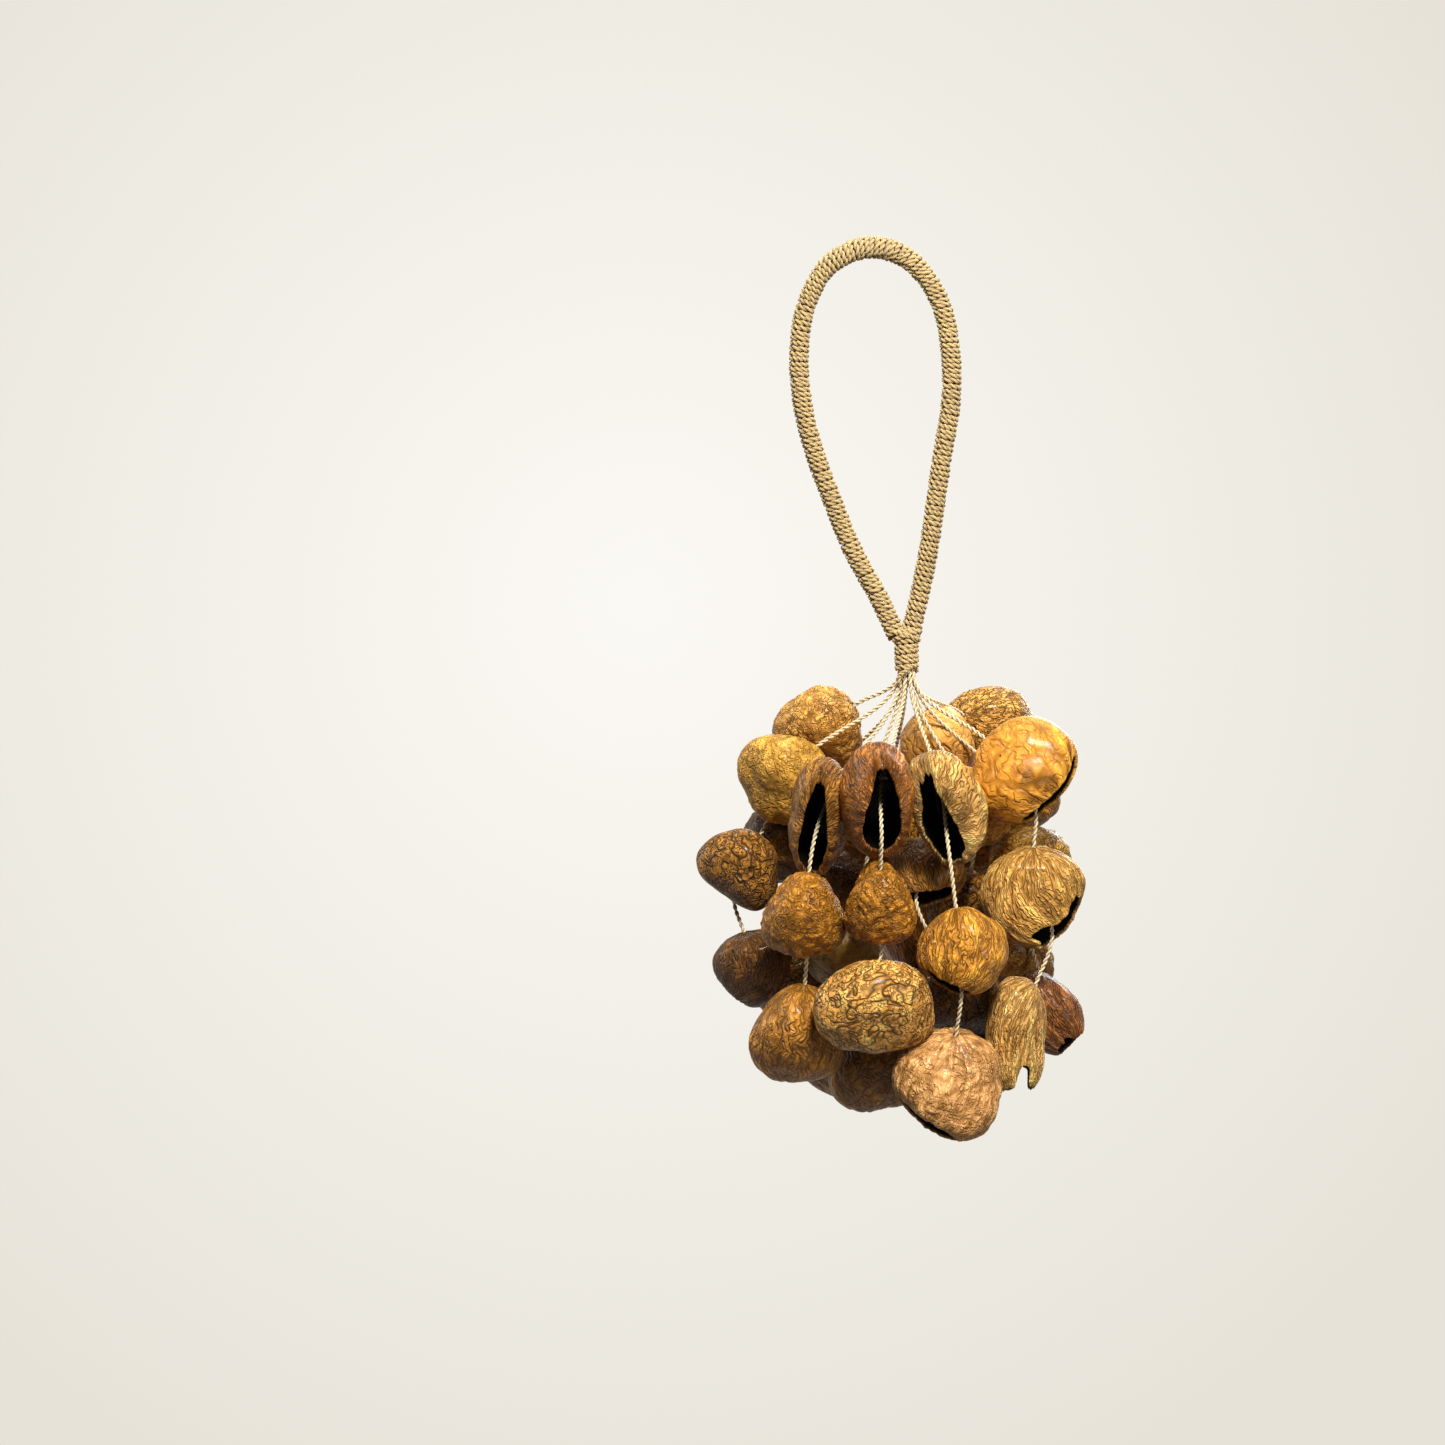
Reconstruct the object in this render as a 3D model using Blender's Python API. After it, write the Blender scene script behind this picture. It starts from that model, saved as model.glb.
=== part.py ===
# A rattle of hollow nutshells on knotted cords under a wound handle loop.
# Metres, +Z up, seen along +Y. The origin is where a hook carries the loop.
import math

import bpy
import numpy as np

mm = 0.001

# Cords, their knots and the holes that they pass through
cord_width = 1.5 * mm
knot_width = 3.6 * mm
hole_gap = 0.35 * mm
cord_gap = 0.3 * mm
cord_spacing = 0.4 * mm  # between cords in the collar
cord_step = 6.0 * mm
hole_lead = 1.5 * mm  # how far a cord runs straight before a hole

# Nutshells
shell_wall = 1.6 * mm
nut_gap = 0.5 * mm
nearly_clear = 0.06 * mm
roundness = 2.25
wedge = 0.16
mouth_drop = 0.35

# Handle loop: a core under a winding of twine
core_width = 5.0 * mm
core_gap = 0.45 * mm
winding_wall = 1.2 * mm
crown_growth = 0.7 * mm
loop_step = 12.0 * mm

# Collar: the twine that binds the two legs of the loop and holds the cords
collar_wall = 1.25 * mm
collar_top = -150.7 * mm
collar_bottom = -170.1 * mm
collar_neck = -157.0 * mm
collar_middle = 2.3 * mm
funnel_growth = 0.8 * mm
funnel = (0.45, 0.33, 0.6)  # the step in the funnel: shares of its way down, in and sideways
leg_gap = 0.5 * mm
core_end = -159.5 * mm

# The legs of the loop where they reach the collar, and its middle line between them, from the
# left leg over the top to the right leg, in millimetres
left_leg = -3.9 * mm
right_leg = 4.9 * mm
loop_route = [
    (-9.5, -138.6), (-19.7, -120.1), (-28.6, -98.7), (-36.5, -77.3), (-41.6, -55.9),
    (-42.8, -34.9), (-39.1, -13.9), (-29.8, 1.3), (-13.4, 8.4), (0.8, 4.8), (11.3, -5.5),
    (17.2, -17.0), (20.6, -34.0), (21.0, -55.9), (17.6, -77.3), (14.5, -98.7), (11.3, -120.1),
    (7.6, -138.6),
]

# The strands, each with its three nuts from the top down. A nut has its middle (x, y, z), its
# size along the mouth, across it and out to it, all in millimetres, the way its mouth faces in
# degrees (round from the viewer, up from level, turn from showing the broad face), the share
# of the nut that the mouth takes (long, wide), how much fuller one end is and how much longer
# the nut grows from its back to its mouth.
strands = {
    "left": [
        ((-50, 0, -215), (38, 25, 36), (-125, -38, 0), (0.70, 0.40), (0.12, 0.10)),
        ((-66, 2, -252), (35, 25, 31), (-120, -42, 0), (0.70, 0.40), (-0.10, 0.22)),
        ((-61, 4, -293), (29, 25, 34), (-115, -44, 0), (0.66, 0.40), (0.06, 0.26)),
    ],
    "left_rear": [
        ((-34, 18, -194.5), (35, 25, 36), (200, -55, 0), (0.66, 0.40), (0.10, 0.18)),
        ((-48, 16, -243), (37, 26, 34), (190, -60, 10), (0.66, 0.40), (-0.08, 0.15)),
        ((-40, 24, -300), (42, 28, 38), (170, -60, -10), (0.66, 0.40), (0.08, 0.15)),
    ],
    "front_left": [
        ((-35, -40, -230), (50, 25, 34), (-8, -24, 100), (0.80, 0.50), (-0.05, 0.0)),
        ((-41.5, -44, -271), (33, 27, 34), (172, -66, 0), (0.66, 0.40), (0.08, 0.30)),
        ((-42, -36, -321), (39, 29, 42), (197, -62, 0), (0.66, 0.36), (-0.10, 0.28)),
    ],
    "inner_left": [
        ((-14, -8, -222), (28, 24, 32), (180, -70, 0), (0.62, 0.42), (0.05, 0.12)),
        ((-23, -10, -288), (34, 24, 32), (180, -65, 15), (0.62, 0.42), (-0.06, 0.15)),
        ((-12, -12, -337), (38, 26, 34), (165, -65, 0), (0.62, 0.40), (0.08, 0.15)),
    ],
    "front_middle": [
        ((-9.5, -48, -224), (48, 28, 34), (8, -24, 72), (0.80, 0.58), (0.10, 0.0)),
        ((-10.5, -52, -266), (27, 24, 33), (183, -70, 0), (0.62, 0.42), (0.04, 0.36)),
        ((-11, -48, -311), (50, 30, 40), (176, -66, -8), (0.66, 0.36), (0.12, 0.12)),
    ],
    "inner_middle": [
        ((11, 15, -200), (32, 24, 32), (180, -65, 0), (0.62, 0.42), (0.05, 0.15)),
        ((10.5, -14, -254), (34, 24, 30), (10, -50, 0), (0.70, 0.44), (-0.06, 0.10)),
        ((25, -8, -307), (36, 25, 33), (180, -65, 0), (0.62, 0.40), (0.06, 0.12)),
    ],
    "front_right": [
        ((17.5, -42, -225), (50, 28, 33), (-16, -24, 140), (0.80, 0.50), (-0.08, 0.0)),
        ((23.5, -52, -286), (36, 30, 35), (-40, -60, 0), (0.50, 0.36), (0.04, 0.04)),
        ((17.5, -46, -337), (44, 30, 44), (-60, -54, 0), (0.66, 0.34), (0.06, 0.22)),
    ],
    "right": [
        ((45, -8, -214), (47, 28, 39), (68, -36, 0), (0.76, 0.42), (0.10, 0.06)),
        ((53, -24, -263), (42, 29, 41), (68, -38, 0), (0.64, 0.40), (-0.06, 0.10)),
        ((46.5, -34, -322), (24, 20, 49), (0, -86, 0), (0.56, 0.56), (0.03, 0.0)),
    ],
    "right_rear": [
        ((35, 36, -195), (47, 27, 35), (160, -58, 0), (0.66, 0.40), (0.12, 0.10)),
        ((36, 30, -246), (38, 26, 34), (170, -62, 0), (0.64, 0.40), (-0.06, 0.12)),
        ((47, 14, -292), (36, 25, 33), (165, -65, 0), (0.62, 0.40), (0.06, 0.15)),
    ],
    "far_right": [
        ((47, 26, -226), (34, 25, 32), (120, -50, 0), (0.66, 0.40), (0.08, 0.10)),
        ((53, 12, -250), (34, 24, 30), (150, -62, 0), (0.62, 0.42), (0.04, 0.12)),
        ((62, -2, -312), (25, 23, 38), (62, -50, 0), (0.62, 0.46), (-0.10, 0.05)),
    ],
    "inner_right": [
        ((25, 4, -229), (34, 25, 32), (180, -66, 0), (0.62, 0.40), (0.06, 0.12)),
        ((27, -4, -268), (32, 24, 30), (180, -68, 0), (0.62, 0.40), (-0.06, 0.12)),
        ((31, 6, -331), (38, 26, 36), (150, -60, 0), (0.62, 0.40), (0.06, 0.15)),
    ],
    "rear_middle": [
        ((-9, 42, -235), (44, 29, 43), (185, -50, 0), (0.70, 0.42), (-0.08, 0.10)),
        ((2, 46, -279), (46, 28, 41), (175, -40, 70), (0.72, 0.46), (0.08, 0.0)),
        ((7, 42, -316), (44, 28, 38), (190, -52, 10), (0.66, 0.40), (-0.08, 0.15)),
    ],
    "rear_left": [
        ((-42, 38, -228), (40, 27, 34), (210, -42, 70), (0.74, 0.46), (0.08, 0.0)),
        ((-24, 36, -261), (42, 28, 38), (215, -52, 0), (0.66, 0.40), (-0.06, 0.12)),
        ((-22, 22, -334), (42, 28, 36), (200, -58, 0), (0.66, 0.38), (0.08, 0.15)),
    ],
}
levels = ("upper", "middle", "lower")
inner_strands = ("inner_left", "rear_middle", "inner_right")

# Shares of an overlap that one round of settling takes away
nut_push = 0.6
cord_push = 0.8

# Faces of the shells
nut_columns = 14
outer_rows = 6
inner_rows = 4
sharp_angle = math.radians(50)

# Colours and finish
shell_colours = [
    (0.36, 0.17, 0.055), (0.30, 0.12, 0.035), (0.42, 0.22, 0.08), (0.24, 0.12, 0.045),
    (0.47, 0.25, 0.09), (0.33, 0.19, 0.07),
]
twine_colour = (0.60, 0.42, 0.20)
core_colour = (0.42, 0.29, 0.15)


def unit(vector):
    return vector / np.linalg.norm(vector, axis=-1, keepdims=True)


def smooth_line(route, step):
    # Points on a smooth curve through the route, at most one step apart. Its slope at a point
    # is the mean of the slopes before and after it, and the shorter stretch counts more.
    route = np.array(route, float)
    spans = np.diff(route, axis=0)
    long = np.linalg.norm(spans, axis=1)[:, None]
    slopes = spans / long
    middle = (slopes[:-1] * long[1:] + slopes[1:] * long[:-1]) / (long[:-1] + long[1:])
    slopes = np.concatenate([slopes[:1], middle, slopes[-1:]])
    line = [route[0]]
    for number, reach in enumerate(long[:, 0]):
        pieces = max(1, math.ceil(reach / step))
        for t in np.arange(1, pieces + 1) / pieces:
            start, leave = route[number], slopes[number] * reach
            end, arrive = route[number + 1], slopes[number + 1] * reach
            rise = 3 * t**2 - 2 * t**3
            bulge = (t**3 - 2 * t**2 + t) * leave + (t**3 - t**2) * arrive
            line.append(start + (end - start) * rise + bulge)
    return np.array(line)


class Nut:
    def __init__(self, name, middle, size, facing, mouth, growth):
        self.name = name
        self.middle = np.array(middle) * mm
        self.wanted = self.middle.copy()
        self.half = np.array(size) * mm / 2
        self.mouth = mouth
        self.fuller, self.taper = growth
        around, up, turn = np.radians(facing)
        out = np.array([
            math.sin(around) * math.cos(up), -math.cos(around) * math.cos(up), math.sin(up)
        ])
        upright = unit(np.cross(out, [0, 1.0, 0]))
        along = upright * math.cos(turn) + np.cross(out, upright) * math.sin(turn)
        self.axes = np.array([along, np.cross(out, along), out])
        self.hole = np.array([0.0, 0.0, 1.0])
        self.skin = self.surface(even_directions())

    def form(self, directions):
        # How far the outside is from the middle: a rounded box that is narrower across and
        # longer towards the mouth, and fuller at one end
        local = directions @ self.axes.T
        half = np.repeat(self.half[None], len(local), 0)
        half[:, 0] *= 1 + self.taper * local[:, 2]
        half[:, 1] *= 1 - wedge * local[:, 2]
        half[:, 2] *= 1 + self.fuller * local[:, 0]
        shares = (np.abs(local) / half) ** roundness
        return shares.sum(1) ** (-1 / roundness)

    def surface(self, directions, inwards=0.0):
        # Points of the outside, or that far under it, as seen from the middle
        return directions * (self.form(directions) - inwards)[:, None]

    def outline(self, around):
        # Directions of the mouth's edge: an oval over the middle of the mouth side, wider
        # at its lower end
        long, wide = self.mouth
        drop = -mouth_drop * self.axes[0, 2]
        x = long * np.cos(around)
        y = wide * np.sin(around) * (1 + drop * np.cos(around))
        z = np.sqrt(np.maximum(1 - x**2 - y**2, 0.02))
        return unit(np.stack([x, y, z], 1) * self.half @ self.axes)

    def way_out(self):
        # Where the cord leaves: the lowest point of the mouth's middle line, clear of its ends
        x = self.mouth[0] * np.linspace(-0.62, 0.62, 21)
        line = np.stack([x, 0 * x, np.sqrt(1 - x**2)], 1) * self.half @ self.axes
        points = self.surface(unit(line))
        return self.middle + points[points[:, 2].argmin()]

    def hole_outside(self):
        return self.middle + self.surface(self.hole[None])[0]

    def grid(self, columns, rows):
        # Directions from the hole, row by row, to the edge of the mouth. The sphere is laid
        # flat from the hole's side, so that the hole is a far circle round the mouth.
        side = unit(np.cross(self.hole, self.axes[1]))
        other = np.cross(self.hole, side)
        around = np.arange(columns) / columns * 2 * math.pi
        edge = self.outline(around)
        flat = (edge @ side + 1j * (edge @ other)) / (1 - edge @ self.hole)
        if (np.roll(flat, -1) * flat.conj()).imag.sum() < 0:
            flat, other = flat.conj(), -other
        centre = flat.mean()
        far, turn = np.abs(flat - centre), np.unwrap(np.angle(flat - centre))
        hole_reach = cord_width / 2 + hole_gap
        hole_angle = hole_reach / (self.form(self.hole[None])[0] - shell_wall)
        hole_far = 1 / math.tan(hole_angle / 2)
        mean_far = math.exp(np.log(far).mean())
        grid = []
        for row in range(rows + 1):
            start, end = 2 * math.atan(hole_far), 2 * math.atan(mean_far)
            reach = math.tan((start + (end - start) * row / rows) / 2)
            share = math.log(hole_far / reach) / math.log(hole_far / mean_far)
            distance = np.exp((1 - share) * math.log(hole_far) + share * np.log(far))
            angle = (1 - share) * (turn[0] + around) + share * turn
            place = distance * np.exp(1j * angle) + centre * (1 - (1 - share) ** 2)
            size = np.abs(place[:, None]) ** 2
            grid.append(
                (2 * place.real[:, None] * side + 2 * place.imag[:, None] * other
                 + (size - 1) * self.hole) / (size + 1)
            )
        return np.array(grid)


def even_directions(count=160):
    # Directions spread evenly over a sphere, on a spiral
    step = np.arange(count) + 0.5
    height = 1 - 2 * step / count
    around = step * math.pi * (3 - math.sqrt(5))
    level = np.sqrt(1 - height**2)
    return np.stack([level * np.cos(around), level * np.sin(around), height], 1)


def inside(nut, points):
    # How deep each point lies under the outside of a nut, negative outside it
    away = points - nut.middle
    far = np.linalg.norm(away, axis=1)
    return nut.form(away / far[:, None]) - far


def cord_starts():
    # Places of the cords in the collar, a ring round three in the middle, each in the order
    # of the ways that its cords leave; and the bore that they need
    pitch = cord_width + cord_spacing
    bearing = {name: math.atan2(*group[0][0][:2]) for name, group in strands.items()}
    outer = [name for name in strands if name not in inner_strands]
    places = {}
    for group in (outer, inner_strands):
        radius = pitch / 2 / math.sin(math.pi / len(group))
        names = sorted(group, key=bearing.get)
        for number, name in enumerate(names):
            angle = bearing[names[0]] + 2 * math.pi * number / len(names)
            places[name] = radius * np.array([math.sin(angle), math.cos(angle)])
    return places, pitch / 2 / math.sin(math.pi / len(outer)) + cord_width / 2 + cord_gap


def thread(name, nuts, start):
    # The route of one cord from the collar to the knot in its lowest nut, and the width at
    # each point as a share of the cord's. It turns each nut's hole to where it comes from.
    place = np.array([collar_middle + start[0], start[1], core_end - cord_gap])
    rim = np.array([place[0], place[1], collar_bottom - cord_width])
    route, widths = [place, rim], [1.0, 1.0]
    for nut in nuts:
        nut.hole = unit(route[-1] - nut.middle)
        hole = nut.hole_outside()
        under = hole - nut.hole * (shell_wall + cord_gap)
        knot = under - nut.hole * knot_width / 2
        tail = knot - nut.hole * knot_width / 2
        route += [hole + nut.hole * hole_lead, under, knot, tail, nut.way_out()]
        widths += [1.0, 1.0, knot_width / cord_width, 1.0, 1.0]
    return route[:-1], widths[:-1]


def settle(hung, places):
    # Moves the nuts, mostly in depth, until they clear one another and the other cords, and
    # in the first rounds draws them back towards their own places
    nuts = [nut for group in hung.values() for nut in group]
    freedom = np.array([0.3, 1.0, 0.3])
    drawn_back = np.array([0.06, 0.01, 0.06])
    drawn_rounds, rounds = 40, 400
    for turn in range(rounds):
        moves = {nut.name: np.zeros(3) for nut in nuts}
        worst = 0.0
        for number, nut in enumerate(nuts):
            for other in nuts[number + 1:]:
                between = other.middle - nut.middle
                if np.linalg.norm(between) > (nut.half.max() + other.half.max()) * 1.2:
                    continue
                depth = nut_gap + max(
                    inside(other, nut.middle + nut.skin).max(),
                    inside(nut, other.middle + other.skin).max(),
                )
                if depth > 0:
                    push = unit(between * freedom) * depth * nut_push
                    moves[nut.name] -= push
                    moves[other.name] += push
                    worst = max(worst, depth)
        for name, group in hung.items():
            route, _ = thread(name, group, places[name])
            line = smooth_line(route, cord_step / 2)
            for nut in nuts:
                if nut in group:
                    continue
                depths = inside(nut, line) + cord_width / 2 + nut_gap
                deepest = depths.argmax()
                if depths[deepest] > 0:
                    away = (nut.middle - line[deepest]) * freedom
                    moves[nut.name] += unit(away) * depths[deepest] * cord_push
                    worst = max(worst, depths[deepest])
        for nut in nuts:
            nut.middle = nut.middle + moves[nut.name]
            if turn < drawn_rounds:
                nut.middle += (nut.wanted - nut.middle) * drawn_back
        if worst < nearly_clear and turn > drawn_rounds:
            return


def add_object(name, mesh, colour, roughness):
    piece = bpy.data.objects.new(name, mesh)
    bpy.context.scene.collection.objects.link(piece)
    material = bpy.data.materials.new(name)
    material.use_nodes = True
    shader = material.node_tree.nodes["Principled BSDF"]
    shader.inputs["Base Color"].default_value = (*colour, 1)
    shader.inputs["Roughness"].default_value = roughness
    mesh.materials.append(material)
    return piece


def halved(points, quads, middle):
    # Two triangles for each quad, along the diagonal that lies further from the middle
    corners = points[quads] - middle
    even = np.linalg.norm(corners[:, 0] + corners[:, 2], axis=1)
    odd = np.linalg.norm(corners[:, 1] + corners[:, 3], axis=1)
    turned = np.where((even >= odd)[:, None], quads, np.roll(quads, -1, 1))
    return np.concatenate([turned[:, [0, 1, 2]], turned[:, [0, 2, 3]]])


def add_rings(name, rings, colour, roughness, closed, middle=None):
    # A body skinned over rings of points. When closed, the last ring joins the first, as on
    # a tube with a wall; otherwise both ends are capped. A body that is round about a middle
    # gets triangles that keep it round.
    rings = np.array(rings)
    count, sides = rings.shape[:2]
    number = np.arange(count * sides).reshape(count, sides)
    after = np.roll(number, -1, 0) if closed else number[1:]
    before = number if closed else number[:-1]
    quads = np.stack([before, np.roll(before, -1, 1), np.roll(after, -1, 1), after], -1)
    quads = quads.reshape(-1, 4)
    caps = [] if closed else [number[0][::-1].tolist(), number[-1].tolist()]
    mesh = bpy.data.meshes.new(name)
    points = rings.reshape(-1, 3)
    faces = quads if middle is None else halved(points, quads, middle)
    mesh.from_pydata(points.tolist(), [], faces.tolist() + caps)
    corners = points[quads]
    flow = np.cross(corners[:, 2] - corners[:, 0], corners[:, 3] - corners[:, 1])
    if (flow * corners.mean(1)).sum() < 0:
        mesh.flip_normals()
    mesh.shade_smooth()
    mesh.set_sharp_from_angle(angle=sharp_angle)
    return add_object(name, mesh, colour, roughness)


def add_nut(nut, colour):
    outer = [nut.middle + nut.surface(row) for row in nut.grid(nut_columns, outer_rows)]
    inner = [
        nut.middle + nut.surface(row, shell_wall) for row in nut.grid(nut_columns, inner_rows)
    ]
    add_rings(nut.name, outer + inner[::-1], colour, 0.38, closed=True, middle=nut.middle)


def add_cord(name, route, widths):
    line = smooth_line(route, cord_step)
    curve = bpy.data.curves.new(name, "CURVE")
    curve.dimensions = "3D"
    curve.bevel_depth = cord_width / 2
    curve.bevel_resolution = 2
    curve.use_fill_caps = True
    spline = curve.splines.new("POLY")
    spline.points.add(len(line) - 1)
    knots = [point for point, width in zip(route, widths) if width > 1]
    for point, place in zip(spline.points, line):
        near = min(np.linalg.norm(place - knot) for knot in knots)
        point.co = (*place, 1)
        point.radius = knot_width / cord_width if near < cord_gap / 2 else 1
    add_object(name, curve, twine_colour, 0.8)


def leg_line(core_end_width=None):
    # The loop's middle line in its plane, with the legs led on down to the core's ends
    leg_end = collar_top + leg_gap
    route = [(x * mm, 0, z * mm) for x, z in loop_route]
    route = [(left_leg, 0, leg_end), *route, (right_leg, 0, leg_end)]
    line = smooth_line(route, loop_step)
    if not core_end_width:
        return line
    spread = (core_end_width + cord_gap) / 2
    left = [(collar_middle - spread, 0, core_end)]
    right = [(collar_middle + spread, 0, core_end)]
    for side, leg in ((-1, left), (1, right)):
        leg.append((collar_middle + side * spread, 0, collar_neck))
    return np.array([*left, *line, *right[::-1]])


def ring_about(line, number, radius, sides, deep=1.0):
    # One ring across a line in the XZ plane. The rings at both ends are level.
    before, after = line[max(number - 1, 0)], line[min(number + 1, len(line) - 1)]
    ahead = unit(after - before)
    if number in (0, len(line) - 1):
        ahead = np.array([0, 0, 1.0 if number == 0 else -1.0])
    across = np.cross(ahead, [0, 1.0, 0])
    angle = np.arange(sides) / sides * 2 * math.pi
    return (
        line[number] + radius * np.cos(angle)[:, None] * across
        + radius * deep * np.sin(angle)[:, None] * np.array([0, 1.0, 0])
    )


def add_handle(collar_bore):
    sides = 10
    bore = core_width / 2 + core_gap
    line = leg_line()
    top = line[:, 2].max()
    height = np.clip((line[:, 2] / top + 0.5) / 1.5, 0, 1)
    outer = [
        ring_about(line, number, bore + winding_wall + crown_growth * share, sides)
        for number, share in enumerate(height)
    ]
    inner = [ring_about(line, number, bore, sides) for number in range(len(line))]
    add_rings("handle_winding", outer + inner[::-1], twine_colour, 0.8, closed=True)

    # Two ends side by side fill the collar's bore, less the gaps round and between them
    core_end_width = collar_bore - 1.9 * cord_gap
    core_line = leg_line(core_end_width)
    tight = [core_end_width / 2] * 2
    radii = [*tight, *[core_width / 2] * len(line), *tight]
    core = [ring_about(core_line, number, radius, 8) for number, radius in enumerate(radii)]
    add_rings("handle_core", core, core_colour, 0.8, closed=False)


def add_collar(bore):
    # A sleeve: an oval funnel under the legs that narrows to a round neck
    sides = 16
    winding = core_width / 2 + core_gap + winding_wall
    neck = bore + collar_wall
    top_middle = (left_leg + right_leg) / 2
    top_half = (right_leg - left_leg) / 2 + winding
    down, inwards, sideways = funnel
    stations = [
        (collar_top, top_middle, top_half, winding + funnel_growth),
        (collar_top + (collar_neck - collar_top) * down,
         top_middle + (collar_middle - top_middle) * sideways,
         top_half + (neck - top_half) * inwards, winding + funnel_growth),
        (collar_neck, collar_middle, neck, neck),
        (collar_bottom, collar_middle, neck, neck),
    ]
    angle = np.arange(sides) / sides * 2 * math.pi
    rings = {0: [], collar_wall: []}
    for wall, group in rings.items():
        for height, middle, wide, deep in stations:
            x = middle + (wide - wall) * np.cos(angle)
            y = (deep - wall) * np.sin(angle)
            group.append(np.stack([x, y, np.full(sides, height)], 1))
    add_rings(
        "collar_binding", rings[0] + rings[collar_wall][::-1], twine_colour, 0.8, closed=True
    )


def build():
    for piece in list(bpy.data.objects):
        bpy.data.objects.remove(piece)
    places, bore = cord_starts()
    hung = {
        name: [
            Nut(f"nut_{name}_{level}", *values) for level, values in zip(levels, group)
        ]
        for name, group in strands.items()
    }
    settle(hung, places)
    add_handle(bore)
    add_collar(bore)
    number = 0
    for name, group in hung.items():
        add_cord(f"cord_{name}", *thread(name, group, places[name]))
        for nut in group:
            add_nut(nut, shell_colours[number % len(shell_colours)])
            number += 1


build()
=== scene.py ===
# Looks of the nutshell rattle: wrinkled shells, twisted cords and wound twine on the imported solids.
# Metres, +Z up, seen along +Y. The origin is where a hook carries the handle loop.
import math

import bpy
import numpy as np
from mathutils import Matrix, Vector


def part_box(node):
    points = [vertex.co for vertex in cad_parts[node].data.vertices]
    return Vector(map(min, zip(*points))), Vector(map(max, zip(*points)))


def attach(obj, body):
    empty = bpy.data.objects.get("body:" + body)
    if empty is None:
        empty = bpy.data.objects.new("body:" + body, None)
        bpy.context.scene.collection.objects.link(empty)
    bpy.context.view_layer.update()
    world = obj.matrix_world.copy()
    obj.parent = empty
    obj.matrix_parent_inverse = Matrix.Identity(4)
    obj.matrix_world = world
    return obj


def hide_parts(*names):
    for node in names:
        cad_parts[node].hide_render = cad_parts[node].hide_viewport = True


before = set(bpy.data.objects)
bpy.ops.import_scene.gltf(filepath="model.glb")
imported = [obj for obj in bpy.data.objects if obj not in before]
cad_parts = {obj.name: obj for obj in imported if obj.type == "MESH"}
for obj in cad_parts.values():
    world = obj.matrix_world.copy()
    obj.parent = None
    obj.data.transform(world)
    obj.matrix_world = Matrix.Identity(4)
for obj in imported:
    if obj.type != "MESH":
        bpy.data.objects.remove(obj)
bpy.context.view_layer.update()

mm = 0.001

# The camera sees the plane of the loop at 0.42 mm to a pixel of the 1445 pixel photograph
view = {"frameWidth": 606.9 * mm, "middle": (-75.0 * mm, -191.3 * mm), "distance": 3.0}


def paint(red, green, blue):
    # A screen colour of 0 to 255 as the linear values that a shader takes
    share = np.array([red, green, blue]) / 255
    linear = np.where(share > 0.04045, ((share + 0.055) / 1.055) ** 2.4, share / 12.92)
    return (*linear.tolist(), 1.0)


def unit(vector):
    return vector / np.linalg.norm(vector, axis=-1, keepdims=True)


def addCamera():
    lens = bpy.data.cameras.new("camera")
    lens.sensor_width = 36.0
    lens.lens = lens.sensor_width * view["distance"] / view["frameWidth"]
    lens.clip_end = 20.0
    camera = bpy.data.objects.new("camera", lens)
    camera.location = (view["middle"][0], -view["distance"], view["middle"][1])
    camera.rotation_euler = (math.radians(90), 0, 0)
    bpy.context.scene.collection.objects.link(camera)
    bpy.context.scene.camera = camera


addCamera()
print("camera placed")


class Value:
    # A shader number. Plain arithmetic on it adds Math nodes.
    def __init__(self, paper, socket):
        self.paper, self.socket = paper, socket

    def math(self, operation, first, second=0.0):
        return self.paper.node("ShaderNodeMath", {"operation": operation}, {0: first, 1: second})

    def __add__(self, other):
        return self.math("ADD", self, other)

    def __radd__(self, other):
        return self.math("ADD", other, self)

    def __sub__(self, other):
        return self.math("SUBTRACT", self, other)

    def __rsub__(self, other):
        return self.math("SUBTRACT", other, self)

    def __mul__(self, other):
        return self.math("MULTIPLY", self, other)

    def __rmul__(self, other):
        return self.math("MULTIPLY", other, self)

    def __pow__(self, other):
        return self.math("POWER", self, other)

    def __abs__(self):
        return self.math("ABSOLUTE", self)

    def larger(self, other):
        return self.math("MAXIMUM", self, other)

    def clipped(self):
        # Kept between 0 and 1
        return self.math("MINIMUM", self.larger(0.0), 1.0)


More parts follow.
